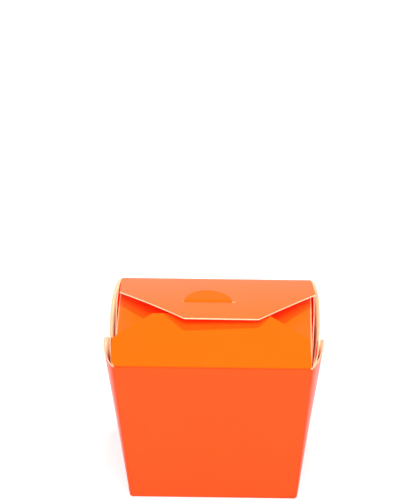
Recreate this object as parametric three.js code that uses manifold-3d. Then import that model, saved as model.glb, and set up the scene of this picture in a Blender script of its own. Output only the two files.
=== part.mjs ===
// A noodle takeaway box, folded shut from one sheet of coated paperboard.
// A flared pail with a web folded round each corner and laid along the side
// walls, two side flaps turned in, a front flap over them, and a lid whose
// slit holds the tongue of the front flap.
//
// Millimetres, +Z up. The origin is the middle of the base, and the front
// wall faces -Y. Lengths along a flap start at its fold.

import * as THREE from 'three';
import Module from 'manifold-3d';

const wasm = await Module();
wasm.setup();

// ---- Driving dimensions ----------------------------------------------------

const BASE_WIDTH = 77;
const BASE_DEPTH = 60;
const FRONT_HEIGHT = 81.8; // height of the front flap's fold
const BACK_HEIGHT = 78.6; // height of the lid's fold
const SIDE_FLARE = 0.0832; // outward run of a wall for each millimetre up
const FRONT_FLARE = 0.0975;
const BACK_FLARE = 0.1015;
const BOARD = 0.55; // thickness of the paperboard
const RACK = 1; // the pail is out of square: its front fold is this far to the left of its lid's

const FLAP = {
  rise: THREE.MathUtils.degToRad(14.3), // slope at the fold
  bend: THREE.MathUtils.degToRad(0.12), // slope lost in each millimetre
  sides: 17.6, // length of the side edges
  length: 33.2,
  shoulders: [-27.8, 25.2], // ends of the straight edge that the tongue grows from
  taper: 0.7, // how far the side edges lean in
};

// The lid rises towards the front. It has also been pulled askew, so that its
// front edge is turned in plan and its left corner is the higher one.
const LID = {
  rise: THREE.MathUtils.degToRad(19),
  bend: THREE.MathUtils.degToRad(0.16),
  length: 53.6,
  sides: 22.6,
  frontEdge: 34.3,
  flares: [1.1, 0.4], // how far the left and right side edges lean out
  turn: THREE.MathUtils.degToRad(3.1),
  twist: THREE.MathUtils.degToRad(2.4),
};

const TONGUE = {
  x: -5.4, // middle of the tongue, on the lid
  halfWidth: 11.15, // at the slit
  reach: 8.3, // length behind the slit, of a round end
  lift: THREE.MathUtils.degToRad(12.5), // its angle over the lid
  slit: 34, // the slit's distance from the lid's fold
  root: 31, // where it leaves the front flap
  dip: 1.2, // how far below the lid's face it comes to the slit
  nest: 0.15, // how far it is pressed into the flap and the lid
};

const SIDE_FLAP = {
  rise: 0.6, // the flaps spring up this much
  creep: 7, // and reach most of it over this distance from the fold
  nest: 0.35, // and are pressed this far into whatever lies on them
};

// Each corner web is folded into a pocket of two layers. Its angles are
// measured round the bottom corner, from the wall's edge to the web's fold,
// in degrees. A layer's stand is its distance from the side wall at the top.
const WEB_FOLD_ANGLE = 35;
const FRONT_WEB = {
  end: -1,
  foldLength: 74.8,
  outerStand: (turn) => 6.8 * (1 - Math.exp(-turn / 9)),
  innerStand: (turn) => 5.4 * (turn / 40.6) ** 0.65,
};
const BACK_WEB = {
  end: 1,
  foldLength: 71,
  outerStand: (turn) => 4.8 * (1 - Math.exp(-turn / 7)) * (1 - 0.4 * ease((turn - 24) / 17)),
  innerStand: (turn) => 2.1 * (1 - Math.exp(-turn / 5)),
};

// ---- Solids ----------------------------------------------------------------

function ease(t) {
  const c = THREE.MathUtils.clamp(t, 0, 1);
  return c * c * (3 - 2 * c);
}

function steps(from, to, count) {
  return Array.from({ length: count + 1 }, (_, i) => THREE.MathUtils.lerp(from, to, i / count));
}

// The closed solid between two surfaces over the same grid of parameters.
function slab(us, vs, upper, lower) {
  const layer = us.length * vs.length;
  const at = (i, j, low) => i * vs.length + j + (low ? layer : 0);
  const vertices = [upper, lower].flatMap((surface) =>
    us.flatMap((u) => vs.flatMap((v) => surface(u, v))),
  );
  const triangles = [];
  const quad = (a, b, c, d) => triangles.push(a, b, c, a, c, d);
  for (let i = 0; i + 1 < us.length; i += 1) {
    for (let j = 0; j + 1 < vs.length; j += 1) {
      quad(at(i, j), at(i + 1, j), at(i + 1, j + 1), at(i, j + 1));
      quad(at(i, j, true), at(i, j + 1, true), at(i + 1, j + 1, true), at(i + 1, j, true));
    }
    const last = vs.length - 1;
    quad(at(i, 0), at(i, 0, true), at(i + 1, 0, true), at(i + 1, 0));
    quad(at(i, last), at(i + 1, last), at(i + 1, last, true), at(i, last, true));
  }
  for (let j = 0; j + 1 < vs.length; j += 1) {
    const last = us.length - 1;
    quad(at(0, j), at(0, j + 1), at(0, j + 1, true), at(0, j, true));
    quad(at(last, j), at(last, j, true), at(last, j + 1, true), at(last, j + 1));
  }
  if (signedVolume(vertices, triangles) < 0) {
    triangles.reverse();
  }
  return new wasm.Manifold(
    new wasm.Mesh({
      numProp: 3,
      vertProperties: Float32Array.from(vertices),
      triVerts: Uint32Array.from(triangles),
    }),
  );
}

function signedVolume(vertices, triangles) {
  const corner = (k) => new THREE.Vector3().fromArray(vertices, 3 * triangles[k]);
  let volume = 0;
  for (let k = 0; k < triangles.length; k += 3) {
    volume += corner(k).dot(corner(k + 1).cross(corner(k + 2))) / 6;
  }
  return volume;
}

// ---- The pail --------------------------------------------------------------

const frontY = (z) => -BASE_DEPTH / 2 - FRONT_FLARE * z;
const backY = (z) => BASE_DEPTH / 2 + BACK_FLARE * z;
const FRONT_FOLD = frontY(FRONT_HEIGHT);
const BACK_FOLD = backY(BACK_HEIGHT);

function rimHeight(y) {
  return THREE.MathUtils.mapLinear(y, FRONT_FOLD, BACK_FOLD, FRONT_HEIGHT, BACK_HEIGHT);
}

// The side walls' outer faces at a height.
function halfWidth(z) {
  return BASE_WIDTH / 2 + SIDE_FLARE * z;
}

// The middle between the side walls, which runs to the left towards the front fold.
function middle(y, z) {
  const share = (z / FRONT_HEIGHT) * ((BACK_FOLD - y) / (BACK_FOLD - FRONT_FOLD));
  return RACK * (0.5 - share);
}

const FLAP_MIDDLE = middle(FRONT_FOLD, FRONT_HEIGHT);
const LID_MIDDLE = middle(BACK_FOLD, BACK_HEIGHT);

// A bowed flap at a length: how far in and up it has come, and its slope.
function bow({ rise, bend }, length) {
  const slope = rise - bend * length;
  const run = (Math.sin(rise) - Math.sin(slope)) / bend;
  const up = (Math.cos(slope) - Math.cos(rise)) / bend;
  return { run, up, slope };
}

function bowHeight({ rise, bend }, run) {
  const slope = Math.asin(Math.sin(rise) - bend * run);
  return (Math.cos(slope) - Math.cos(rise)) / bend;
}

// The side flaps' upper face, held down by the front flap and the lid, at a
// distance from the side wall's fold.
function roofHeight(inset, y) {
  const sprung = rimHeight(y) + SIDE_FLAP.rise * (1 - Math.exp(-inset / SIDE_FLAP.creep));
  const under = (height, flap, run) => {
    return height + bowHeight(flap, run) - SIDE_FLAP.nest * ease(run / 3);
  };
  return Math.min(
    sprung,
    under(FRONT_HEIGHT, FLAP, y - FRONT_FOLD),
    under(BACK_HEIGHT, LID, BACK_FOLD - y),
  );
}

function pail() {
  const half = [0.15, 0.4, 0.65, 0.8, 0.88, 0.94, 1];
  const across = [...half.map((u) => -u).reverse(), ...half];
  const back = steps(0, 1, 16);
  const roof = (u, v) => {
    const y = THREE.MathUtils.lerp(FRONT_FOLD, BACK_FOLD, v);
    const rim = rimHeight(y);
    const inset = (1 - Math.abs(u)) * halfWidth(rim);
    return [middle(y, rim) + u * halfWidth(rim), y, inset === 0 ? rim : roofHeight(inset, y)];
  };
  const base = (u, v) => [middle(0, 0) + (u * BASE_WIDTH) / 2, (v - 0.5) * BASE_DEPTH, 0];
  return slab(across, back, roof, base);
}

// ---- Flaps -----------------------------------------------------------------

// Straight outline of a flap: the x of one edge at a length from the fold.
function edgeX(corners, length) {
  const next = Math.max(1, corners.findIndex((c) => c.length >= length));
  const [a, b] = [corners[next - 1], corners[next]];
  return THREE.MathUtils.mapLinear(length, a.length, b.length, a.x, b.x);
}

function frontFlap() {
  const fold = halfWidth(FRONT_HEIGHT);
  const [leftEdge, rightEdge] = FLAP.shoulders.map((shoulder) => [
    { length: 0, x: Math.sign(shoulder) * fold },
    { length: FLAP.sides, x: Math.sign(shoulder) * (fold - FLAP.taper) },
    { length: FLAP.length, x: shoulder },
  ]);
  const face = (depth) => (u, length) => {
    const { run, up, slope } = bow(FLAP, length);
    const x = FLAP_MIDDLE + THREE.MathUtils.lerp(edgeX(leftEdge, length), edgeX(rightEdge, length), u);
    if (length === 0) {
      return [x, frontY(FRONT_HEIGHT - depth), FRONT_HEIGHT - depth];
    }
    return [x, FRONT_FOLD + run + depth * Math.sin(slope), FRONT_HEIGHT + up - depth * Math.cos(slope)];
  };
  const lengths = [...steps(0, FLAP.sides, 3), ...steps(FLAP.sides, FLAP.length, 3).slice(1)];
  return slab([0, 1], lengths, face(0), face(BOARD));
}

function lidPoint(x, length, above) {
  const { run, up, slope } = bow(LID, length);
  const share = length / LID.length;
  return [
    LID_MIDDLE + x + LID.turn * length,
    BACK_FOLD - run + LID.turn * x * share + above * Math.sin(slope),
    BACK_HEIGHT + up - LID.twist * x * share + above * Math.cos(slope),
  ];
}

function lid() {
  const fold = halfWidth(BACK_HEIGHT);
  const [leftEdge, rightEdge] = LID.flares.map((flare, i) => {
    const side = 2 * i - 1;
    return [
      { length: 0, x: side * fold },
      { length: LID.sides, x: side * (fold + flare) },
      { length: LID.length, x: (side * LID.frontEdge) / 2 },
    ];
  });
  const face = (depth) => (u, length) => {
    const x = THREE.MathUtils.lerp(edgeX(leftEdge, length), edgeX(rightEdge, length), u);
    if (length === 0) {
      return [LID_MIDDLE + x, backY(BACK_HEIGHT - depth), BACK_HEIGHT - depth];
    }
    return lidPoint(x, length, -depth);
  };
  const lengths = [...steps(0, LID.sides, 3), ...steps(LID.sides, LID.length, 4).slice(1)];
  return slab(steps(0, 1, 4), lengths, face(0), face(BOARD));
}

// Leaves the front flap, passes under the lid, climbs through the slit and
// leans back over the lid. Its end is the cap of a circle.
function tongue() {
  const across = (u) => lidPoint(TONGUE.x + u * TONGUE.halfWidth, TONGUE.slit, 0);
  const { run, up } = bow(FLAP, TONGUE.root);
  const route = (u, depth) => {
    const [x, slitY, slitZ] = across(u);
    const climbY = slitY - BOARD + depth;
    return [
      [x, FRONT_FOLD + run, FRONT_HEIGHT + up - TONGUE.nest - depth],
      [x, climbY, slitZ - TONGUE.dip - depth],
      [x, climbY, slitZ + BOARD - TONGUE.nest],
    ];
  };
  const neck = slab(
    [-1, 1],
    [0, 1, 2],
    (u, v) => route(u, 0)[v],
    (u, v) => route(u, BOARD)[v],
  );
  const radius = (TONGUE.halfWidth ** 2 + TONGUE.reach ** 2) / (2 * TONGUE.reach);
  const widest = Math.asin(TONGUE.halfWidth / radius);
  const lobe = (above) => (u, angle) => {
    const reach = radius * (Math.cos(angle) - 1) + TONGUE.reach;
    const length = TONGUE.slit - reach * Math.cos(TONGUE.lift);
    const x = TONGUE.x + u * radius * Math.sin(angle);
    return lidPoint(x, length, above + reach * Math.sin(TONGUE.lift));
  };
  return neck.add(slab([-1, 1], steps(widest, 0.05 * widest, 8), lobe(BOARD), lobe(-TONGUE.nest)));
}

// ---- Corner webs -----------------------------------------------------------

// A point of a web: side is -1 or 1, angle is round the bottom corner from
// upright, share is 0 at that corner and 1 at the web's top edge, and stand is
// the distance from the side wall, given for the top edge.
function webPoint(web, side, angle, share, stand, extra) {
  const [height, flare] = web.end < 0 ? [FRONT_HEIGHT, FRONT_FLARE] : [BACK_HEIGHT, BACK_FLARE];
  const startAngle = -THREE.MathUtils.radToDeg(Math.atan(flare));
  const wallLength = Math.hypot(1, flare) * height;
  const top = THREE.MathUtils.mapLinear(angle, startAngle, WEB_FOLD_ANGLE, wallLength, web.foldLength);
  const turn = THREE.MathUtils.degToRad(angle);
  const y = web.end * (BASE_DEPTH / 2 - top * share * Math.sin(turn));
  const z = top * share * Math.cos(turn);
  const out = halfWidth(z) + stand(angle - startAngle) * share + extra;
  return [middle(y, z) + side * out, y, z];
}

function web(shape, side) {
  const flare = shape.end < 0 ? FRONT_FLARE : BACK_FLARE;
  const start = -THREE.MathUtils.radToDeg(Math.atan(flare));
  const none = () => 0;
  const face = (stand, extra) => (angle, share) => webPoint(shape, side, angle, share, stand, extra);
  const angles = [0, 1.5, 3.5, 6, 10, 15, 21, 28, WEB_FOLD_ANGLE - start].map((turn) => start + turn);
  const whole = slab(angles, [0.02, 0.5, 1], face(shape.outerStand, 0), face(none, -1));

  // Hollows open at the top edge: inside the pocket, and behind it.
  const hollow = (turns, deepest, upper, lower) => {
    const point = (surface) => (t, share) => {
      const [nearTop, nearBottom] = turns.start;
      const from = THREE.MathUtils.mapLinear(share, 1, deepest, nearTop, nearBottom);
      return surface(start + THREE.MathUtils.lerp(from, turns.end, t), share);
    };
    return slab(steps(0, 1, 6), steps(deepest, 1.04, 2), point(upper), point(lower));
  };
  const span = WEB_FOLD_ANGLE - start;
  const pocket = hollow(
    { start: [4, 9], end: span - 0.8 },
    0.66,
    face(shape.outerStand, -BOARD),
    face(shape.innerStand, 0),
  );
  const behind = hollow(
    { start: [5, 10], end: span + 2 },
    0.7,
    face(shape.innerStand, -BOARD),
    face(none, 0),
  );
  return whole.subtract(pocket).subtract(behind);
}

// ---- The box ---------------------------------------------------------------

function toMesh(solid, name, material) {
  const { vertProperties, triVerts } = solid.getMesh();
  const geometry = new THREE.BufferGeometry();
  geometry.setAttribute('position', new THREE.BufferAttribute(vertProperties, 3));
  geometry.setIndex(new THREE.BufferAttribute(triVerts, 1));
  geometry.computeVertexNormals();
  const mesh = new THREE.Mesh(geometry, material);
  mesh.name = name;
  return mesh;
}

const coatedBoard = new THREE.MeshStandardMaterial({ color: 0xff6a2a, roughness: 0.35, metalness: 0 });

const corners = [FRONT_WEB, BACK_WEB].flatMap((shape) => [web(shape, -1), web(shape, 1)]);
const folded = [frontFlap(), lid(), tongue(), ...corners].reduce((box, piece) => box.add(piece), pail());

const group = new THREE.Group();
group.add(toMesh(folded, 'noodle_box', coatedBoard));

export default group;
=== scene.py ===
import math

import bmesh
import bpy
from bpy.props import FloatProperty, FloatVectorProperty, PointerProperty
from bpy.types import NodeSocket, Operator, Panel, PropertyGroup
from mathutils import Matrix, Vector


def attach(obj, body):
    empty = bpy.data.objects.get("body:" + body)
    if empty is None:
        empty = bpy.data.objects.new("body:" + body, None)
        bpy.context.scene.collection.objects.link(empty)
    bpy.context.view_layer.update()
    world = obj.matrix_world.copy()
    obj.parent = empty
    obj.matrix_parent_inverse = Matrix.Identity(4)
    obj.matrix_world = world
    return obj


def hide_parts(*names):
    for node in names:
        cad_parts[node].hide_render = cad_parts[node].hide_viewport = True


bl_info = {
    "name": "Noodle Takeaway Box",
    "version": (1, 0, 0),
    "blender": (4, 5, 0),
    "location": "View3D > Sidebar > Takeaway",
    "description": "Folds a coated paperboard noodle box from its walls, corner webs and flaps",
    "category": "Object",
}

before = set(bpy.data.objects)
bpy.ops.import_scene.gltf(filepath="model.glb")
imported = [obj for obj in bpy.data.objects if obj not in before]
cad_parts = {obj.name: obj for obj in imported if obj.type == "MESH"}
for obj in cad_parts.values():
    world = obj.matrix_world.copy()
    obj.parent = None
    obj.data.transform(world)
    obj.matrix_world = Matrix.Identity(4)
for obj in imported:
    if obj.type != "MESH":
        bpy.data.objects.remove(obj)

NODE = "noodle_box"
MM = 0.001
FRONT, BACK = -1, 1
LEFT, RIGHT = -1, 1


# ---- Sizes and finish


def number(text, value, about):
    """A plain property, such as a ratio or a strength."""
    return FloatProperty(name=text, description=about, default=value)


def metres(text, value, about):
    """A length property whose default is given in metres."""
    return FloatProperty(name=text, description=about, default=value, unit="LENGTH")


def millimetres(text, value, about):
    """A length property whose default is given in millimetres."""
    return FloatProperty(name=text, description=about, default=value * MM, unit="LENGTH", precision=5)


def angle(text, value, about):
    """An angle property whose default is given in degrees."""
    return FloatProperty(name=text, description=about, default=math.radians(value), subtype="ANGLE")


def watts(text, value, about):
    """A property for the power of a light."""
    return FloatProperty(name=text, description=about, default=value, unit="POWER")


def colour(text, value, about):
    """A colour property."""
    return FloatVectorProperty(name=text, description=about, default=value, subtype="COLOR", size=3)


class PailSizes(PropertyGroup):
    """The pail's walls and corner webs"""

    base_width: millimetres("Base Width", 77, "Width of the base, left to right")
    base_depth: millimetres("Base Depth", 60, "Depth of the base, front to back")
    front_height: millimetres("Front Height", 81.8, "Height of the front flap's fold")
    back_height: millimetres("Back Height", 78.6, "Height of the lid's fold")
    side_flare: number("Side Flare", 0.0832, "Outward run of a side wall per height")
    front_flare: number("Front Flare", 0.0975, "Outward run of the front wall per height")
    back_flare: number("Back Flare", 0.1015, "Outward run of the back wall per height")
    rack: millimetres("Rack", 1, "How far the front fold lies to the left of the lid's fold")
    board: millimetres("Board", 0.55, "Thickness of the paperboard")
    fold_radius: millimetres("Fold Radius", 0.55, "Outside radius of a scored fold")
    base_radius: millimetres("Base Radius", 0.6, "Outside radius of the folds round the base")
    web_angle: angle("Web Angle", 35, "Angle between upright and the fold of a corner web")
    front_web: millimetres("Front Web", 74.8, "Length of a front web's fold")
    back_web: millimetres("Back Web", 71, "Length of a back web's fold")
    front_ear: millimetres("Front Ear", 6.68, "How far a front web stands off the side wall at the top")
    back_ear: millimetres("Back Ear", 4.8, "How far a back web stands off the side wall at the top")


class FlapSizes(PropertyGroup):
    """The flaps that close the pail"""

    flap_rise: angle("Flap Rise", 14.3, "Slope of the front flap at its fold")
    flap_bend: angle("Flap Bend", 120, "Slope the front flap loses in each metre")
    flap_length: millimetres("Flap Length", 33.2, "Length of the front flap from its fold")
    flap_sides: millimetres("Flap Sides", 17.6, "Length of the front flap's side edges")
    left_shoulder: millimetres("Left Shoulder", -27.8, "Left end of the front flap's straight edge")
    right_shoulder: millimetres("Right Shoulder", 25.2, "Right end of the front flap's straight edge")
    left_lean: millimetres("Left Lean", -0.6, "How far the front flap's left side edge leans in")
    right_lean: millimetres("Right Lean", 0.95, "How far the front flap's right side edge leans in")
    left_belly: millimetres("Left Belly", 0.7, "Swell of the front flap's left edge between its ends")
    lid_rise: angle("Lid Rise", 19, "Slope of the lid at its fold")
    lid_bend: angle("Lid Bend", 160, "Slope the lid loses in each metre")
    lid_length: millimetres("Lid Length", 53.6, "Length of the lid from its fold")
    lid_sides: millimetres("Lid Sides", 22.6, "Length of the lid's side edges")
    lid_front: millimetres("Lid Front", 34.3, "Width of the lid's front edge")
    left_flare: millimetres("Left Flare", 1.1, "How far the lid's left side edge leans out")
    right_flare: millimetres("Right Flare", 0.4, "How far the lid's right side edge leans out")
    lid_turn: angle("Lid Turn", 3.1, "How far the lid's front edge is turned in plan")
    lid_twist: angle("Lid Twist", 2.4, "How far the lid's front edge leans to the right")
    tongue_x: millimetres("Tongue X", -5.4, "Middle of the tongue, across the lid")
    tongue_half: millimetres("Tongue Half Width", 11.15, "Half the width of the tongue")
    tongue_reach: millimetres("Tongue Reach", 8.3, "Length of the tongue behind the slit")
    tongue_lift: angle("Tongue Lift", 12.5, "Angle of the tongue over the lid")
    slit: millimetres("Slit", 34, "Distance of the slit from the lid's fold")
    slit_gap: millimetres("Slit Gap", 0.62, "Opening of the slit")
    slit_left: millimetres("Slit Left", -16.9, "Left end of the slit")
    slit_right: millimetres("Slit Right", 7.46, "Right end of the slit")
    side_rise: millimetres("Side Rise", 0.6, "How far the side flaps spring up")
    side_creep: millimetres("Side Creep", 7, "Distance over which they spring up")
    side_sides: millimetres("Side Flap Sides", 20, "Length of a side flap's side edges")
    side_length: millimetres("Side Flap Length", 48, "Length of a side flap from its fold")


class Finish(PropertyGroup):
    """Colours, light and camera"""

    coat: colour("Coat", (0.95, 0.067, 0.002), "Colour of the printed outside")
    # painted highlight: the pale colour of the line along the side walls' folds
    painted_fold_highlight: colour("Painted Fold Highlight", (1.0, 0.5, 0.3), "Colour of the side walls' folds")
    bare: colour("Bare Board", (0.95, 0.8, 0.58), "Colour of the unprinted inside")
    edge: colour("Cut Edge", (0.86, 0.63, 0.41), "Colour of the board's cut edges")
    # painted shade: cut edges that face up are made this darker colour
    rim: colour("Rim", (0.5, 0.25, 0.15), "Colour of the cut edges that face up")
    # painted shade: the colour that bare board darkens to deep in the pockets
    pocket: colour("Pocket", (0.6, 0.1, 0.03), "Colour of bare board deep in the pockets")
    pocket_shade_depth: millimetres("Pocket Shade Depth", 14, "Depth at which the pocket's colour is reached")
    # painted glow: red that the coat gives off, so that its shade stays saturated red
    painted_red_glow: number("Painted Red Glow", 0.12, "Red that the printed board gives back in shade")
    # painted glow: light that the bare board gives off, to brighten it in the pockets
    painted_glow: number("Painted Glow", 0.08, "Light that comes through the bare board")
    floor: colour("Floor", (0.2, 0.2, 0.2), "Colour of the floor")
    table_light: number("Table Light", 0.8, "Light from under the floor's paper")
    key_power: watts("Key Light", 11.1, "Power of the light overhead")
    fill_power: watts("Fill Light", 19.0, "Power of the light in front")
    room: number("Room", 1.25, "Brightness of the room at the horizon")
    air: colour("Air", (1.0, 0.92, 0.8), "Colour of the room's light")
    pitch: angle("Pitch", 34, "How far the camera looks down")
    turn: angle("Turn", -0.626, "How far the camera is turned about the upright")
    roll: angle("Roll", 0.386, "How far the camera is turned about its view")
    distance: metres("Distance", 1.35773, "Distance of the camera from its aim")
    aim_height: millimetres("Aim Height", 41, "Height of the point that the aim starts from")
    aim_right: metres("Aim Right", -0.003918, "How far the aim is moved across the view")
    aim_up: metres("Aim Up", 0.06605, "How far the aim is moved up the view")
    lens: number("Lens", 207.24, "Focal length in millimetres")


def pail():
    """The pail's sizes."""
    return bpy.context.scene.pail_sizes


def flaps():
    """The flaps' sizes."""
    return bpy.context.scene.flap_sizes


def finish():
    """The colours, light and camera."""
    return bpy.context.scene.box_finish


def of_end(end, size):
    """A size that the pail's front and back each have."""
    return getattr(pail(), ("front_" if end == FRONT else "back_") + size)


# ---- Curves


def ease(t):
    """A smooth step from 0 to 1."""
    t = min(max(t, 0.0), 1.0)
    return t * t * (3 - 2 * t)


def settle(run, reach):
    """A quick rise from 0 that levels out at 1."""
    return 1 - math.exp(-run / reach)


def lerp(a, b, t):
    """The value at a share of the way between two."""
    return a + (b - a) * t


def bow(rise, bend, length):
    """(distance in, height gained, slope) of a bowed flap at a length from its fold."""
    slope = rise - bend * length
    return (math.sin(rise) - math.sin(slope)) / bend, (math.cos(slope) - math.cos(rise)) / bend, slope


def bow_height(rise, bend, run):
    """Height that a bowed flap gains over a distance in."""
    slope = math.asin(math.sin(rise) - bend * run)
    return (math.cos(slope) - math.cos(rise)) / bend


def softer_least(values, blur=0.2 * MM):
    """The least of some heights, with its corners smoothed."""
    low = min(values)
    return low - blur * math.log(sum(math.exp((low - v) / blur) for v in values))


def corner_arc(corner, before, after, radius, cuts=4, most=0.4):
    """Points round a fold between two straight runs, of which it takes at most a share."""
    a, b = (before - corner), (after - corner)
    reach = min(radius, most * a.length, most * b.length)
    a, b = corner + a.normalized() * reach, corner + b.normalized() * reach
    return [a.lerp(corner, t).lerp(corner.lerp(b, t), t) for t in (i / cuts for i in range(cuts + 1))]


# ---- Walls and flaps

LAYER_GAP = 0.05 * MM  # between two sheets that lie on each other
DIP_RUN = 3 * MM  # how far in from a fold a side flap takes to dip under the flap over it


def wall_y(end, z):
    """Outer face of the front or back wall at a height."""
    return end * (pail().base_depth / 2 + of_end(end, "flare") * z)


def fold_height(end):
    """Height of the fold at the top of the front or back wall."""
    return of_end(end, "height")


def fold_y(end):
    """Where that fold lies, front to back."""
    return wall_y(end, fold_height(end))


def half_width(z):
    """Outer face of a side wall at a height, from the middle between the side walls."""
    return pail().base_width / 2 + pail().side_flare * z


def rim_height(y):
    """Height of a side flap's fold, which slopes down from the front to the back."""
    share = (y - fold_y(FRONT)) / (fold_y(BACK) - fold_y(FRONT))
    return lerp(pail().front_height, pail().back_height, share)


def middle(y, z):
    """The middle between the side walls, which runs to the left towards the front fold."""
    share = (z / pail().front_height) * ((fold_y(BACK) - y) / (fold_y(BACK) - fold_y(FRONT)))
    return pail().rack * (0.5 - share)


def flap_point(x, length, above=0.0):
    """A point on the front flap, from its fold."""
    run, up, slope = bow(flaps().flap_rise, flaps().flap_bend, length)
    x += middle(fold_y(FRONT), pail().front_height)
    y = fold_y(FRONT) + run - above * math.sin(slope)
    return Vector((x, y, pail().front_height + up + above * math.cos(slope)))


def lid_point(x, length, above=0.0):
    """A point on the lid, from its fold: the lid is turned in plan, and its left is higher."""
    tops = flaps()
    run, up, slope = bow(tops.lid_rise, tops.lid_bend, length)
    share = length / tops.lid_length
    y = fold_y(BACK) - run + tops.lid_turn * x * share + above * math.sin(slope)
    z = pail().back_height + up - tops.lid_twist * x * share + above * math.cos(slope)
    return Vector((middle(fold_y(BACK), pail().back_height) + x + tops.lid_turn * length, y, z))


def side_flap_height(inset, y, under):
    """Height of a side flap's upper face, held down by the front flap and the lid.

    under is how much it is pressed down by the other side flap."""
    tops = flaps()
    clear = pail().board + LAYER_GAP + under
    heights = [rim_height(y) + tops.side_rise * settle(inset, tops.side_creep) - under]
    for end, rise, bend in ((FRONT, tops.flap_rise, tops.flap_bend), (BACK, tops.lid_rise, tops.lid_bend)):
        run = end * (fold_y(end) - y)
        heights.append(fold_height(end) + bow_height(rise, bend, run) - clear * ease(run / DIP_RUN))
    return softer_least(heights)


# ---- Corner webs
#
# A web is folded in two layers that lie against the side wall and open upwards into a pocket. A
# layer's stand off the wall is a share of the web's ear. It grows with the turn round the bottom
# corner, quickly at first: a curl is the turn, in degrees, in which it makes most of its rise.

OUTER_CURL = {FRONT: 9, BACK: 7}
BACK_DROOP, DROOP_START, DROOP_TURN = 0.4, 24, 17  # a back web draws in again towards its fold
PACKED_LAYERS, PACKED_RUN = 2.1, 1.2 * MM  # board under the outer face, from its corner inwards
FRONT_TURN = 40.6  # about a front web's whole turn, in degrees
LEFT_FRONT_STAND, LEFT_FRONT_POWER = 0.794, 0.65
RIGHT_FRONT_STAND, RIGHT_FRONT_CURL, RIGHT_FRONT_SPREAD = 0.52, 6, 0.26
BACK_STAND, BACK_CURL = 0.44, 5
LEAST_STAND = 0.03 * MM
WEB_TURNS = [math.radians(d) for d in (1.4, 2.4, 3.6, 5, 7, 9.5, 12.5, 16, 20, 25, 30, 35)]
WEB_BENDS = 7  # steps round a web's fold
WEB_CORNER_RADIUS, WEB_CORNER_RUN = 0.75 * MM, 10 * MM  # where a web turns the corner to its wall


def web_reach(end):
    """(angle of the wall's edge, length of that edge) of a web, in the side wall's plane."""
    flare = of_end(end, "flare")
    return -math.atan(flare), math.hypot(1, flare) * fold_height(end)


def web_span(end):
    """The turn from a web's wall to its fold."""
    return pail().web_angle - web_reach(end)[0]


def web_point(end, side, turn, share, stand):
    """A point of a web: turn is round the bottom corner from the wall's edge."""
    start, edge = web_reach(end)
    length = lerp(edge, of_end(end, "web"), turn / web_span(end)) * share
    y = end * (pail().base_depth / 2 - length * math.sin(start + turn))
    z = length * math.cos(start + turn)
    return Vector((middle(y, z) + side * (half_width(z) + stand), y, z))


def outer_stand(end, turn, share):
    """How far a web's outer layer stands off the side wall."""
    degrees = math.degrees(turn)
    wide = of_end(end, "ear") * settle(degrees, OUTER_CURL[end])
    if end == BACK:
        wide *= 1 - BACK_DROOP * ease((degrees - DROOP_START) / DROOP_TURN)
    away = web_reach(end)[1] * share * math.sin(turn)
    packed = PACKED_LAYERS * pail().board * settle(away, PACKED_RUN)
    return math.hypot(wide * share, packed)


def inner_stand(end, side, turn, share):
    """How far a web's inner layer stands off the side wall, at its printed face.

    The right front pocket is nearly shut, so there the layer springs away from the wall."""
    degrees = math.degrees(turn)
    if (end, side) == (FRONT, RIGHT):
        spring = RIGHT_FRONT_STAND * settle(degrees, RIGHT_FRONT_CURL)
        wide = pail().front_ear * (spring + RIGHT_FRONT_SPREAD * (degrees / FRONT_TURN) ** 2)
    elif end == FRONT:
        wide = LEFT_FRONT_STAND * pail().front_ear * (degrees / FRONT_TURN) ** LEFT_FRONT_POWER
    else:
        wide = BACK_STAND * pail().back_ear * settle(degrees, BACK_CURL)
    return max(wide * share - pail().board, LEAST_STAND)


def web_columns(end, side, rows):
    """A web's columns from its root on the side wall, round its fold, to the wall."""
    span = web_span(end)
    columns = []
    for turn in WEB_TURNS:
        columns.append([web_point(end, side, turn, t, inner_stand(end, side, turn, t)) for t in rows])
    for k in range(WEB_BENDS + 1):
        phase = math.pi * (k / WEB_BENDS)
        column = []
        for t in rows:
            out, low = outer_stand(end, span, t), inner_stand(end, side, span, t)
            radius = (out - low) / 2
            back_off = radius * (1 - math.sin(phase)) / (of_end(end, "web") * t)
            stand = (out + low) / 2 - radius * math.cos(phase)
            column.append(web_point(end, side, span - back_off, t, stand))
        columns.append(column)
    for turn in reversed(WEB_TURNS):
        columns.append([web_point(end, side, turn, t, outer_stand(end, turn, t)) for t in rows])
    inward = Vector((-side * WEB_CORNER_RUN, 0, 0))
    arcs = []
    for t, before in zip(rows, columns[-1]):
        corner = web_point(end, side, 0.0, t, 0.0)
        arcs.append(corner_arc(corner, before, corner + inward, WEB_CORNER_RADIUS))
    return columns + [list(column) for column in zip(*arcs)]


# ---- Modelling helpers


def clear_selection():
    """Leaves edit mode and deselects all."""
    if bpy.context.object and bpy.context.object.mode != "OBJECT":
        bpy.ops.object.mode_set(mode="OBJECT")
    bpy.ops.object.select_all(action="DESELECT")


def choose(obj):
    """Selects one piece alone and makes it active."""
    clear_selection()
    obj.select_set(True)
    bpy.context.view_layer.objects.active = obj


def edit(obj):
    """Opens a piece in edit mode with nothing selected, and gives its bmesh."""
    choose(obj)
    bpy.ops.object.mode_set(mode="EDIT")
    bpy.ops.mesh.select_mode(type="VERT")
    bpy.ops.mesh.select_all(action="DESELECT")
    return bmesh.from_edit_mesh(obj.data)


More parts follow.
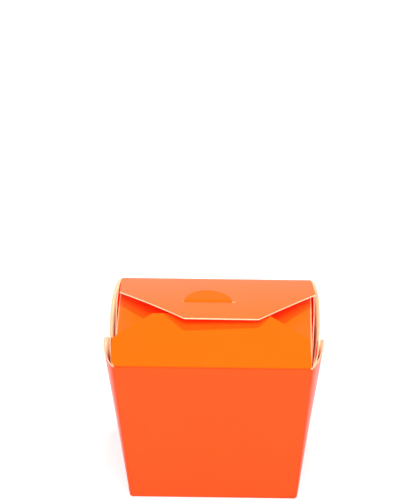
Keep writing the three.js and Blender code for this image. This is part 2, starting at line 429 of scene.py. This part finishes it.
def draw_sheet(name, columns, outward, depths=None):
    """Draws a sheet of board by extruding its first column of points through the rest.

    outward is the way its largest face looks, and depths gives each row's distance below the
    sheet's top edge."""
    rows = len(columns[0])
    depths = depths or [0.0] * rows
    clear_selection()
    bpy.ops.mesh.primitive_plane_add(size=MM, location=columns[0][0])
    obj = bpy.context.object
    obj.name = obj.data.name = name
    bpy.ops.object.transform_apply(location=True, rotation=True, scale=True)
    mesh = edit(obj)
    centre = sum((v.co for v in mesh.verts), Vector()) / 4
    for v in mesh.verts:
        v.select = v.co.y > centre.y
    bpy.ops.mesh.delete(type="VERT")
    bpy.ops.mesh.select_all(action="SELECT")
    bpy.ops.mesh.subdivide(number_cuts=rows - 2)
    mesh = bmesh.from_edit_mesh(obj.data)
    row = mesh.verts.layers.int.new("row")
    depth = mesh.verts.layers.float.new("depth")
    for i, v in enumerate(sorted(mesh.verts, key=lambda v: v.co.x)):
        v[row] = i
        v[depth] = depths[i]
        v.co = columns[0][i]
    bmesh.update_edit_mesh(obj.data)
    for before, after in zip(columns, columns[1:]):
        step = sum((b - a for a, b in zip(before, after)), Vector()) / rows
        bpy.ops.mesh.extrude_edges_move(TRANSFORM_OT_translate={"value": step})
        mesh = bmesh.from_edit_mesh(obj.data)
        row = mesh.verts.layers.int["row"]
        for v in mesh.verts:
            if v.select:
                v.co = after[v[row]]
        bmesh.update_edit_mesh(obj.data)
    bpy.ops.mesh.select_all(action="SELECT")
    mesh = bmesh.from_edit_mesh(obj.data)
    mesh.normal_update()
    largest = max(mesh.faces, key=lambda f: f.calc_area())
    if largest.normal.dot(Vector(outward)) < 0:
        bpy.ops.mesh.flip_normals()
    bpy.ops.object.mode_set(mode="OBJECT")
    obj.data.attributes.remove(obj.data.attributes["row"])
    return obj


def trim(obj, through, to, keep):
    """Cuts a sheet along the upright plane through two points, and keeps the side of a third."""
    edit(obj)
    bpy.ops.mesh.select_all(action="SELECT")
    on_plane = (through[0], through[1], 0)
    normal = Vector((to[1] - through[1], through[0] - to[0], 0)).normalized()
    if normal.dot(Vector((keep[0] - through[0], keep[1] - through[1], 0))) > 0:
        normal = -normal
    bpy.ops.mesh.bisect(plane_co=on_plane, plane_no=normal, clear_outer=True, threshold=1e-7)
    bpy.ops.object.mode_set(mode="OBJECT")


def join_sheets(sheet, flap):
    """Makes a wall and the flap over it one piece of board."""
    choose(sheet)
    flap.select_set(True)
    bpy.ops.object.join()
    edit(sheet)
    bpy.ops.mesh.select_all(action="SELECT")
    bpy.ops.mesh.remove_doubles(threshold=0.02 * MM)
    bpy.ops.object.mode_set(mode="OBJECT")
    return sheet


def finish_sheet(obj):
    """Gives a sheet its thickness, with bare board inside and at its cut edges."""
    for material in materials():
        obj.data.materials.append(material)
    choose(obj)
    solid = obj.modifiers.new("Board", "SOLIDIFY")
    solid.thickness = pail().board
    solid.offset = -1
    solid.material_offset = 1
    solid.material_offset_rim = 2
    bpy.ops.object.modifier_apply(modifier=solid.name)
    bpy.ops.object.shade_smooth_by_angle(angle=math.radians(35))
    place(obj)


def place(obj):
    """Puts a piece on its body, over the node that it dresses."""
    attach(obj, "root")
    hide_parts(NODE)


# ---- Node helpers

VECTOR, FLOAT = "NodeSocketVector", "NodeSocketFloat"


def feed(tree, made, inputs):
    """Gives each of a node's inputs its value, or links it to the output that feeds it."""
    for key, value in inputs.items():
        if isinstance(value, NodeSocket):
            tree.links.new(value, made.inputs[key])
        else:
            made.inputs[key].default_value = value


def node(tree, kind, where, inputs=None, **settings):
    """Adds a node with its settings, and feeds its inputs."""
    made = tree.nodes.new(kind)
    made.location = where
    for key, value in settings.items():
        setattr(made, key, value)
    feed(tree, made, inputs or {})
    return made


def maths(tree, operation, where, *values):
    """Adds a sum, product or the like of its values, and gives the result."""
    return node(tree, "ShaderNodeMath", where, dict(enumerate(values)), operation=operation).outputs[0]


def ramp(tree, where, value, ends, smooth=True):
    """Maps a value between its named ends, and gives the result."""
    kind = "SMOOTHSTEP" if smooth else "LINEAR"
    made = node(tree, "ShaderNodeMapRange", where, {"Value": value, **ends}, interpolation_type=kind)
    return made.outputs["Result"]


def opaque(paint):
    """A colour as an input takes it. An output that feeds a colour stays as it is."""
    return paint if isinstance(paint, NodeSocket) else (*paint, 1)


def mix(tree, where, factor, a, b):
    """Mixes two colours, or outputs that feed them, and gives the result."""
    inputs = {"Factor": factor, "A": opaque(a), "B": opaque(b)}
    return node(tree, "ShaderNodeMix", where, inputs, data_type="RGBA").outputs["Result"]


def effect(tree, name, where, inputs):
    """Adds one of the shared effects to a material."""
    return node(tree, "ShaderNodeGroup", where, inputs, node_tree=bpy.data.node_groups[name])


def new_effect(name, inputs, outputs):
    """Starts a shared effect, and gives its tree, its given inputs and the node for its outputs."""
    tree = bpy.data.node_groups.new(name, "ShaderNodeTree")
    for text, kind in inputs.items():
        tree.interface.new_socket(text, in_out="INPUT", socket_type=kind)
    for text in outputs:
        tree.interface.new_socket(text, in_out="OUTPUT", socket_type=FLOAT)
    return tree, node(tree, "NodeGroupInput", (-900, 0)).outputs, node(tree, "NodeGroupOutput", (300, 0))


def new_material(name, values):
    """Starts a material with its shader's values, and gives it, its tree and the shader."""
    material = bpy.data.materials.new(name)
    material.use_nodes = True
    shader = material.node_tree.nodes["Principled BSDF"]
    feed(material.node_tree, shader, values)
    return material, material.node_tree, shader


# ---- Finishes

MOTTLE = (0.93, 1.05)  # the coat's darkest and palest clouds, as shares of its colour
SCORED = (0.9, 0.62, 1.0)  # what a scored line leaves of the coat's red, green and blue
COAT_ROUGHNESS = {"To Min": 0.26, "To Max": 0.36}
FLECK_SPREAD = {"From Min": 0.35, "From Max": 0.65}  # noise of the darkest and the palest flecks
UPWARD_SHADE_SLOPE = {"From Min": 0.3, "From Max": 0.8}  # upward part of the normal over which a cut edge takes on its painted shade
COAT_SCALE, BARE_SCALE, EDGE_SCALE = 900.0, 700.0, 1500.0  # of the fibres
FIBRE_STRETCH = (1.0, 0.35, 0.35)
CLOUD_SCALE = 0.06  # of the scale of the flecks


def unracked_x(tree, parts):
    """Adds nodes for the distance from the middle between the side walls, and gives it."""
    rack = pail().rack
    ends = {"From Min": fold_y(BACK), "From Max": fold_y(FRONT), "To Max": rack / pail().front_height}
    deep = node(tree, "ShaderNodeMapRange", (-1300, 500), {"Value": parts["Y"], **ends}, clamp=False)
    share = maths(tree, "MULTIPLY_ADD", (-1100, 500), deep.outputs["Result"], parts["Z"], -rack / 2)
    return maths(tree, "ADD", (-900, 500), share, parts["X"])


def score_line_effect():
    """Mask of a scored line, the same on the left and the right of the box."""
    sockets = {"Through": VECTOR, "Along": VECTOR, "Half Width": FLOAT}
    tree, given, out = new_effect("Score Line", sockets, ["Line"])
    coords = node(tree, "ShaderNodeTexCoord", (-1500, 200)).outputs["Object"]
    parts = node(tree, "ShaderNodeSeparateXYZ", (-1300, 200), {0: coords}).outputs
    across = maths(tree, "ABSOLUTE", (-700, 500), unracked_x(tree, parts))
    mirrored = {"X": across, "Y": parts["Y"], "Z": parts["Z"]}
    vector = node(tree, "ShaderNodeCombineXYZ", (-700, 200), mirrored).outputs[0]
    for operation, socket, x in (("SUBTRACT", "Through", -500), ("CROSS_PRODUCT", "Along", -300)):
        inputs = {0: vector, 1: given[socket]}
        vector = node(tree, "ShaderNodeVectorMath", (x, 100), inputs, operation=operation).outputs[0]
    length = node(tree, "ShaderNodeVectorMath", (-100, 0), {0: vector}, operation="LENGTH")
    ends = {"From Max": given["Half Width"], "To Min": 1, "To Max": 0}
    feed(tree, out, {"Line": ramp(tree, (100, 0), length.outputs["Value"], ends)})


def fibre_effect():
    """Masks of a paper's fibres: small flecks, and slow clouds."""
    tree, given, out = new_effect("Paper Fibre", {"Scale": FLOAT}, ["Fleck", "Cloud"])
    coords = node(tree, "ShaderNodeTexCoord", (-900, 300)).outputs["Object"]
    stretch = {"Vector": coords, "Scale": FIBRE_STRETCH}
    stretched = node(tree, "ShaderNodeMapping", (-650, 300), stretch).outputs[0]
    fine = {"Vector": stretched, "Scale": given["Scale"], "Detail": 4, "Roughness": 0.6}
    fleck = node(tree, "ShaderNodeTexNoise", (-400, 200), fine)
    scale = maths(tree, "MULTIPLY", (-650, -100), given["Scale"], CLOUD_SCALE)
    slow = {"Vector": coords, "Scale": scale, "Detail": 3}
    cloud = node(tree, "ShaderNodeTexNoise", (-400, -200), slow)
    feed(tree, out, {"Fleck": fleck.outputs["Fac"], "Cloud": cloud.outputs["Fac"]})


def raise_fibres(tree, shader, fibre, strength, distance):
    """Lets the flecks of a paper's fibres stand up a little."""
    height = {"Height": fibre["Fleck"], "Strength": strength, "Distance": distance}
    bump = node(tree, "ShaderNodeBump", (-450, -400), height)
    feed(tree, shader, {"Normal": bump.outputs["Normal"]})


def fold_lines():
    """(point, direction, half width) of each scored line, on the right of the box.

    The last one is where the side wall folds over, along which a pale highlight is painted."""
    top_half, edge_half, web_half, base_half, painted_highlight_half = (d * MM for d in (1.1, 0.45, 0.5, 0.6, 0.7))
    across, deep = Vector((1, 0, 0)), Vector((0, 1, 0))
    base_half_width = pail().base_width / 2
    tops, lines = {}, []
    for end in (FRONT, BACK):
        top = tops[end] = Vector((half_width(fold_height(end)), fold_y(end), fold_height(end)))
        bottom = Vector((base_half_width, end * pail().base_depth / 2, 0))
        span = web_span(end)
        crease = web_point(end, RIGHT, span, 1.0, outer_stand(end, span, 1.0))
        crease.x -= middle(crease.y, crease.z)
        lines.append((top, across, top_half))
        lines.append((bottom, (top - bottom).normalized(), edge_half))
        lines.append((bottom, (crease - bottom).normalized(), web_half))
        lines.append((bottom, across, base_half))
    lines.append((Vector((base_half_width, 0, 0)), deep, base_half))
    lines.append((tops[FRONT], (tops[BACK] - tops[FRONT]).normalized(), painted_highlight_half))
    return lines


def coated_material():
    """Printed and coated outside of the board, with a painted highlight along the side walls' folds and a
    painted red glow that keeps its shade saturated.
    """
    look = finish()
    # the coat glows a little red, a painted glow that keeps its shade saturated
    values = {"IOR": 1.27, "Emission Color": opaque((1, 0, 0)), "Emission Strength": look.painted_red_glow}
    _, tree, shader = new_material("Orange Coat", values)
    fibre = effect(tree, "Paper Fibre", (-1200, -200), {"Scale": COAT_SCALE}).outputs
    masks = []
    for i, (through, along, half) in enumerate(fold_lines()):
        inputs = {"Through": through, "Along": along, "Half Width": half}
        masks.append(effect(tree, "Score Line", (-1400, 300 + 180 * i), inputs).outputs["Line"])
    # the last mask is the side walls' folds, which get a painted highlight
    scored_mask, *others, painted_highlight_mask = masks
    for i, mask in enumerate(others):
        scored_mask = maths(tree, "MAXIMUM", (-1100, 480 + 180 * i), scored_mask, mask)
    coat = Vector(look.coat)
    mottled = mix(tree, (-700, 100), fibre["Cloud"], coat * MOTTLE[0], coat * MOTTLE[1])
    line_colour = [part * left for part, left in zip(coat, SCORED)]
    scored = mix(tree, (-450, 100), scored_mask, mottled, line_colour)
    # paints the pale highlight along the side walls' folds
    with_painted_highlight = mix(tree, (-250, 200), painted_highlight_mask, scored, look.painted_fold_highlight)
    roughness = ramp(tree, (-450, -150), fibre["Cloud"], COAT_ROUGHNESS, smooth=False)
    feed(tree, shader, {"Base Color": with_painted_highlight, "Roughness": roughness})
    raise_fibres(tree, shader, fibre, strength=0.12, distance=0.03 * MM)


def bare_material(name, paper, scale, fleck, painted_glow):
    """Unprinted board: pale, matt and full of fibres, with painted shade that darkens it deep in the
    pockets.

    fleck is how much darker its flecks are, as a share of its colour. The last argument is the strength of
    a painted glow in the board's own colour."""
    look = finish()
    values = {"IOR": 1.4, "Roughness": 0.75, "Emission Strength": painted_glow}
    material, tree, shader = new_material(name, values)
    fibre = effect(tree, "Paper Fibre", (-900, 0), {"Scale": scale}).outputs
    flecks = ramp(tree, (-650, 0), fibre["Fleck"], FLECK_SPREAD, smooth=False)
    paper = Vector(paper)
    tint = mix(tree, (-400, 0), flecks, paper * (1 - fleck), paper * (1 + fleck / 2))
    # painted shade: the board darkens towards the pocket colour with depth below the sheet's top edge
    below = node(tree, "ShaderNodeAttribute", (-900, 300), attribute_name="depth").outputs["Fac"]
    deep = ramp(tree, (-650, 300), below, {"From Max": look.pocket_shade_depth})
    shaded = mix(tree, (-200, 100), deep, tint, look.pocket)
    # the board glows in its own colour, a painted glow that brightens the pockets
    feed(tree, shader, {"Base Color": shaded, "Emission Color": shaded})
    raise_fibres(tree, shader, fibre, strength=0.3, distance=0.04 * MM)
    return material


def shade_upward_rims(material):
    """Paints the edges that face up darker, as painted shade that tones down the light falling on them from
    above.
    """
    tree = material.node_tree
    shader = tree.nodes["Principled BSDF"]
    before = shader.inputs["Base Color"].links[0].from_socket
    # painted shade on the cut edges that face up, where the light from above falls
    face = node(tree, "ShaderNodeNewGeometry", (-900, 600)).outputs["True Normal"]
    parts = node(tree, "ShaderNodeSeparateXYZ", (-650, 600), {0: face}).outputs
    upward = ramp(tree, (-400, 600), parts["Z"], UPWARD_SHADE_SLOPE)
    feed(tree, shader, {"Base Color": mix(tree, (0, 300), upward, before, finish().rim)})


def materials():
    """(coat, bare inside, cut edge), built the first time they are asked for."""
    if "Orange Coat" not in bpy.data.materials:
        look = finish()
        score_line_effect()
        fibre_effect()
        coated_material()
        bare_material("Bare Board", look.bare, BARE_SCALE, fleck=0.08, painted_glow=look.painted_glow)
        shade_upward_rims(bare_material("Cut Edge", look.edge, EDGE_SCALE, fleck=0.14, painted_glow=0.0))
    return [bpy.data.materials[name] for name in ("Orange Coat", "Bare Board", "Cut Edge")]


# ---- Pieces


class TAKEAWAY_OT_base(Operator):
    """Adds the base, with the folds round it"""

    bl_idname = "takeaway.base"
    bl_label = "Base"

    def execute(self, context):
        sizes = pail()
        height = 2 * sizes.base_radius
        clear_selection()
        centre = middle(0, 0)
        bpy.ops.mesh.primitive_cube_add(size=1, location=(centre, 0, height / 2))
        obj = context.object
        obj.name = obj.data.name = "base"
        obj.scale = (sizes.base_width, sizes.base_depth, height)
        bpy.ops.object.transform_apply(location=True, rotation=True, scale=True)
        mesh = edit(obj)
        for v in mesh.verts:
            if v.co.z > height / 2:
                side, end = (RIGHT if v.co.x > centre else LEFT), (BACK if v.co.y > 0 else FRONT)
                v.co.y = wall_y(end, height)
                v.co.x = middle(v.co.y, height) + side * half_width(height)
        bpy.ops.mesh.select_mode(type="FACE")
        for f in mesh.faces:
            f.select = f.calc_center_median().z > 0.9 * height
        bpy.ops.mesh.delete(type="ONLY_FACE")
        mesh = bmesh.from_edit_mesh(obj.data)
        bpy.ops.mesh.select_mode(type="EDGE")
        for e in mesh.edges:
            e.select = all(v.co.z < height / 2 for v in e.verts)
        bpy.ops.mesh.bevel(offset=sizes.base_radius, segments=4, profile=0.5)
        bpy.ops.object.mode_set(mode="OBJECT")
        finish_sheet(obj)
        return {"FINISHED"}


WALL_START = 1.6  # height of the front and back walls' lower edges, in radii of the base's folds
WALL_ROWS = (0.03, 0.06, 0.11, 0.18, 0.27, 0.38, 0.5, 0.62, 0.74, 0.86, 0.95, 1.0)


def end_wall(end, name, shares, lengths, flap_at):
    """A front or back wall with its webs, and the untrimmed flap that folds over from its top.

    shares are the flap's columns across the wall, and flap_at(share, length) is a point on it."""
    rows = [WALL_START * pail().base_radius / fold_height(end), *WALL_ROWS]
    right, left = web_columns(end, RIGHT, rows), web_columns(end, LEFT, rows)
    walls = [[a.lerp(b, share) for a, b in zip(left[-1], right[-1])] for share in shares]
    flap = []
    for share, wall in zip(shares, walls):
        over = [flap_at(share, length) for length in lengths]
        fold = corner_arc(wall[-1], wall[-2], over[0], pail().fold_radius)
        wall[-1] = fold[0]
        flap.append(fold + over)
    depths = [(1 - t) * fold_height(end) for t in rows]
    sheet = draw_sheet(name, left[:-1] + walls + right[-2::-1], (0, end, 0), depths)
    return sheet, draw_sheet(name + "_flap", flap, (0, 0, 1))


class TAKEAWAY_OT_front(Operator):
    """Adds the front wall, its two webs, and the front flap arched over the side flaps"""

    bl_idname = "takeaway.front"
    bl_label = "Front Wall and Flap"

    def execute(self, context):
        tops = flaps()
        fold = half_width(pail().front_height)
        lengths = [d * MM for d in (2, 3.5, 6, 9, 12, 15, 18, 21, 24, 27, 30)] + [tops.flap_length]
        strips = 24
        shares = [k / strips for k in range(strips + 1)]

        def flap_at(share, length):
            along = min(length / tops.flap_sides, 1)
            if share < 0.5:
                out = tops.left_belly * math.sin(math.pi * along) - tops.left_lean * along
            else:
                out = -tops.right_lean * along
            return flap_point((2 * share - 1) * (fold + out), length)

        wall, flap = end_wall(FRONT, "front", shares, lengths, flap_at)
        slants = ((LEFT, tops.left_lean, tops.left_shoulder), (RIGHT, tops.right_lean, tops.right_shoulder))
        for side, lean, shoulder in slants:
            corner = flap_point(side * (fold - lean), tops.flap_sides)
            tip = flap_point(shoulder, tops.flap_length)
            trim(flap, corner, tip, (0, fold_y(FRONT)))
        finish_sheet(join_sheets(wall, flap))
        return {"FINISHED"}


def cut_slit(lid):
    """Deletes the strip of the lid between the slit's two lips."""
    tops = flaps()
    mesh = edit(lid)
    bpy.ops.mesh.select_mode(type="FACE")
    centre = lid_point(0, tops.slit + tops.slit_gap / 2)
    for f in mesh.faces:
        away = f.calc_center_median() - centre
        along = away.y - tops.lid_turn * away.x * tops.slit / tops.lid_length
        f.select = abs(along) < tops.slit_gap / 2 and tops.slit_left < away.x < tops.slit_right
    bpy.ops.mesh.delete(type="FACE")
    bpy.ops.object.mode_set(mode="OBJECT")


class TAKEAWAY_OT_back(Operator):
    """Adds the back wall, its two webs, and the lid with its slit"""

    bl_idname = "takeaway.back"
    bl_label = "Back Wall and Lid"

    def execute(self, context):
        tops = flaps()
        fold = half_width(pail().back_height)
        lengths = [d * MM for d in (3, 6, 10, 14, 18.5, 22.6, 28.5)]
        lengths += [tops.slit, tops.slit + tops.slit_gap]
        lengths += [d * MM for d in (39, 44, 49)] + [tops.lid_length]
        wide = fold + tops.left_flare
        across = [d * MM for d in (-40, -33, -25, -12, -6, 0, 4, 14, 20, 27, 34, 40)]
        across = sorted([*across, -wide, wide, tops.slit_left, tops.slit_right])
        shares = [0.5 + x / wide / 2 for x in across]
        flares = {LEFT: tops.left_flare, RIGHT: tops.right_flare}

        def lid_at(share, length):
            flare = flares[LEFT if share < 0.5 else RIGHT]
            return lid_point((2 * share - 1) * (fold + flare * min(length / tops.lid_sides, 1)), length)

        wall, lid = end_wall(BACK, "back", shares, lengths, lid_at)
        for side, flare in flares.items():
            wing = lid_point(side * (fold + flare), tops.lid_sides)
            tip = lid_point(side * tops.lid_front / 2, tops.lid_length)
            trim(lid, wing, tip, (0, fold_y(BACK)))
        cut_slit(lid)
        finish_sheet(join_sheets(wall, lid))
        return {"FINISHED"}


TUCK_GAP = 0.25 * MM  # between a side wall's edges and the front and back walls
SIDE_STRIPS = 28
SIDE_ROWS = (0.02, 0.1, 0.3, 0.5, 0.7, 0.9, 0.97)
SIDE_INSETS = (2, 3, 4.5, 6.5, 9, 12, 16, 20, 25, 30, 36, 42, 47)
SIDE_FOLD_RADIUS = 1.1 * MM
OVERLAP_DROP = 0.6 * MM  # how far the left side flap is pressed down by the right one
OVERLAP_START, OVERLAP_RUN = 36 * MM, 8 * MM
SIDE_TAPER_X, SIDE_TAPER_Y = 26.5 * MM, 21 * MM  # the corner that is cut off a side flap's tip


def side_column(side, share, tuck, under):
    """Points up a side wall, over its fold and in along its flap, at a share of the way back."""
    y_top = lerp(fold_y(FRONT) + tuck, fold_y(BACK) - tuck, share)
    rim = rim_height(y_top)
    wall = []
    for t in SIDE_ROWS:
        z = rim * t
        y = lerp(wall_y(FRONT, z) + tuck, wall_y(BACK, z) - tuck, share)
        wall.append(Vector((middle(y, z) + side * half_width(z), y, z)))
    centre = middle(y_top, rim)
    flap = []
    for inset in [d * MM for d in SIDE_INSETS] + [flaps().side_length]:
        x = centre + side * (half_width(rim) - inset)
        overlap = ease((inset - OVERLAP_START) / OVERLAP_RUN)
        flap.append(Vector((x, y_top, side_flap_height(inset, y_top, under * overlap))))
    corner = Vector((centre + side * half_width(rim), y_top, rim))
    return wall + corner_arc(corner, wall[-1], flap[0], SIDE_FOLD_RADIUS) + flap


class TAKEAWAY_OT_sides(Operator):
    """Adds the side walls with the flaps turned in under the lid"""

    bl_idname = "takeaway.sides"
    bl_label = "Side Walls and Flaps"

    def execute(self, context):
        tuck = pail().board + TUCK_GAP
        edge = half_width(rim_height(0)) - flaps().side_sides
        for side, name, under in ((RIGHT, "right_side", 0.0), (LEFT, "left_side", OVERLAP_DROP)):
            shares = [k / SIDE_STRIPS for k in range(SIDE_STRIPS + 1)]
            obj = draw_sheet(name, [side_column(side, t, tuck, under) for t in shares], (side, 0, 0))
            for end in (FRONT, BACK):
                wing = (side * edge, fold_y(end) - end * tuck)
                tip = (side * (edge - SIDE_TAPER_X), fold_y(end) - end * SIDE_TAPER_Y)
                trim(obj, wing, tip, (side * edge, 0))
            finish_sheet(obj)
        return {"FINISHED"}


TONGUE_ROWS, TONGUE_STRIPS = 14, 12
TONGUE_ROOT = 0.3 * MM  # how far it starts inside the front flap's edge
SLIT_SHARE = 0.8  # of the slit's gap, where it comes up
TONGUE_BEND, TONGUE_SAG = 0.85, Vector((0, 0, -0.1 * MM))
UNDER_LIP = Vector((0, -0.25 * MM, -1.3 * MM))
OVER_LIP = Vector((0, 0, 0.08 * MM))
LOBE_BACK, LOBE_GAP = 0.5 * MM, 0.06 * MM  # from the slit, and over the lid
LEAST_LOBE = 0.03  # its least width, as a sine, so that its columns never meet


class TAKEAWAY_OT_tongue(Operator):
    """Adds the front flap's tongue, up through the slit and back over the lid"""

    bl_idname = "takeaway.tongue"
    bl_label = "Tongue"

    def execute(self, context):
        tops = flaps()
        root = flap_point(0, tops.flap_length - TONGUE_ROOT)
        radius = (tops.tongue_half**2 + tops.tongue_reach**2) / (2 * tops.tongue_reach)
        widest = math.asin(tops.tongue_half / radius)

        def stem(u):
            """Level with the flap, then up to the slit's front lip, and through it."""
            slit = lid_point(tops.tongue_x + u * tops.tongue_half, tops.slit + SLIT_SHARE * tops.slit_gap)
            start = Vector((slit.x, root.y, root.z))
            lip = slit + UNDER_LIP
            bend = start.lerp(lip, TONGUE_BEND) + TONGUE_SAG
            return [start, start.lerp(bend, 0.5), bend, lip, slit + OVER_LIP]

        def lobe(u, turn):
            """A point on the round end that lies back over the lid."""
            run = radius * (math.cos(turn) - 1) + tops.tongue_reach
            length = tops.slit - LOBE_BACK - run * math.cos(tops.tongue_lift)
            x = tops.tongue_x + u * radius * max(math.sin(turn), LEAST_LOBE)
            return lid_point(x, length, pail().board + LOBE_GAP + run * math.sin(tops.tongue_lift))

        columns = []
        for k in range(TONGUE_STRIPS + 1):
            u = 2 * k / TONGUE_STRIPS - 1
            turns = [widest * (1 - i / TONGUE_ROWS) for i in range(TONGUE_ROWS + 1)]
            columns.append(stem(u) + [lobe(u, turn) for turn in turns])
        finish_sheet(draw_sheet("tongue", columns, (0, -0.5, 1)))
        return {"FINISHED"}


# ---- Stage

FLOOR_SIZE, FLOOR_Z = 6, -0.1 * MM
KEY_PLACE, KEY_SIZE = Vector((0.03, 0.19, 0.92)), 0.12
FILL_PLACE, FILL_SIZE = Vector((0.05, -0.55, 0.93)), 0.6
LIGHT_AIM = Vector((0, 0, 0.08))
DIM_SIDE, DIM_TOP = 0.5, 0.08  # shares of its brightness behind the camera and overhead


class TAKEAWAY_OT_stage(Operator):
    """Adds the floor, the light and the camera"""

    bl_idname = "takeaway.stage"
    bl_label = "Stage"

    def execute(self, context):
        look = finish()
        self.add_floor(context, look)
        self.add_room(context, look)
        self.add_softbox("key_light", KEY_PLACE, KEY_SIZE, look.key_power)
        self.add_softbox("fill_light", FILL_PLACE, FILL_SIZE, look.fill_power)
        self.add_camera(context, look)
        context.scene.view_settings.view_transform = "Standard"
        return {"FINISHED"}

    def add_floor(self, context, look):
        """A matt paper floor, lit a little from below."""
        clear_selection()
        bpy.ops.mesh.primitive_plane_add(size=FLOOR_SIZE, location=(0, 0, FLOOR_Z))
        floor = context.object
        floor.name = "floor"
        values = {
            "Base Color": opaque(look.floor),
            "Roughness": 0.9,
            "Specular IOR Level": 0.1,
            "Emission Color": opaque((1, 1, 1)),
            "Emission Strength": look.table_light,
        }
        paper, _, _ = new_material("Floor", values)
        floor.data.materials.append(paper)

    def add_room(self, context, look):
        """A pale room: bright round the horizon, dark overhead and dimmer on the camera's side."""
        world = bpy.data.worlds.new("Room")
        context.scene.world = world
        world.use_nodes = True
        tree = world.node_tree
        coords = node(tree, "ShaderNodeTexCoord", (-800, 0)).outputs["Generated"]
        parts = node(tree, "ShaderNodeSeparateXYZ", (-600, 0), {0: coords}).outputs
        sides = {"From Min": -0.7, "From Max": 0.7, "To Min": look.room * DIM_SIDE, "To Max": look.room}
        depth = ramp(tree, (-400, 100), parts["Y"], sides)
        heights = {"From Min": 0.1, "From Max": 0.82, "To Min": 1, "To Max": DIM_TOP}
        height = ramp(tree, (-400, -200), parts["Z"], heights)
        strength = maths(tree, "MULTIPLY", (-200, 0), depth, height)
        feed(tree, tree.nodes["Background"], {"Color": opaque(look.air), "Strength": strength})

    def add_softbox(self, name, at, size, power):
        """A round soft light aimed at the box, which no gloss mirrors."""
        bpy.ops.object.light_add(type="AREA", location=at)
        light = bpy.context.object
        light.name = light.data.name = name
        light.data.shape = "DISK"
        light.data.size = size
        light.data.energy = power
        light.rotation_euler = (LIGHT_AIM - light.location).to_track_quat("-Z", "Y").to_euler()
        light.visible_glossy = False

    def add_camera(self, context, look):
        """A long lens that looks down at the front of the box."""
        e, a = look.pitch, look.turn
        ahead = Vector((math.sin(a) * math.cos(e), math.cos(a) * math.cos(e), -math.sin(e)))
        level = Vector((math.cos(a), -math.sin(a), 0))
        right = math.cos(look.roll) * level + math.sin(look.roll) * level.cross(ahead)
        up = right.cross(ahead)
        aim = Vector((middle(0, 0), 0, look.aim_height)) + look.aim_right * right + look.aim_up * up
        data = bpy.data.cameras.new("Camera")
        data.lens = look.lens
        data.sensor_width = 36
        data.clip_start, data.clip_end = 0.05, 20
        camera = bpy.data.objects.new("Camera", data)
        context.scene.collection.objects.link(camera)
        turn = Matrix((right, up, -ahead)).transposed().to_4x4()
        camera.matrix_world = Matrix.Translation(aim - ahead * look.distance) @ turn
        context.scene.camera = camera


# ---- Add-on

STEPS = (
    TAKEAWAY_OT_base,
    TAKEAWAY_OT_front,
    TAKEAWAY_OT_back,
    TAKEAWAY_OT_sides,
    TAKEAWAY_OT_tongue,
    TAKEAWAY_OT_stage,
)


class TAKEAWAY_PT_panel(Panel):
    """Lists the steps that fold the box"""

    bl_idname = "TAKEAWAY_PT_panel"
    bl_label = "Noodle Box"
    bl_space_type = "VIEW_3D"
    bl_region_type = "UI"
    bl_category = "Takeaway"

    def draw(self, context):
        for step in STEPS:
            self.layout.operator(step.bl_idname)


CLASSES = (PailSizes, FlapSizes, Finish, *STEPS, TAKEAWAY_PT_panel)


def register():
    for cls in CLASSES:
        bpy.utils.register_class(cls)
    bpy.types.Scene.pail_sizes = PointerProperty(type=PailSizes)
    bpy.types.Scene.flap_sizes = PointerProperty(type=FlapSizes)
    bpy.types.Scene.box_finish = PointerProperty(type=Finish)


def unregister():
    del bpy.types.Scene.box_finish
    del bpy.types.Scene.flap_sizes
    del bpy.types.Scene.pail_sizes
    for cls in reversed(CLASSES):
        bpy.utils.unregister_class(cls)


def main():
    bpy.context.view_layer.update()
    register()
    bpy.ops.takeaway.base()
    bpy.ops.takeaway.front()
    bpy.ops.takeaway.back()
    bpy.ops.takeaway.sides()
    bpy.ops.takeaway.tongue()
    bpy.ops.takeaway.stage()


if __name__ == "__main__":
    main()
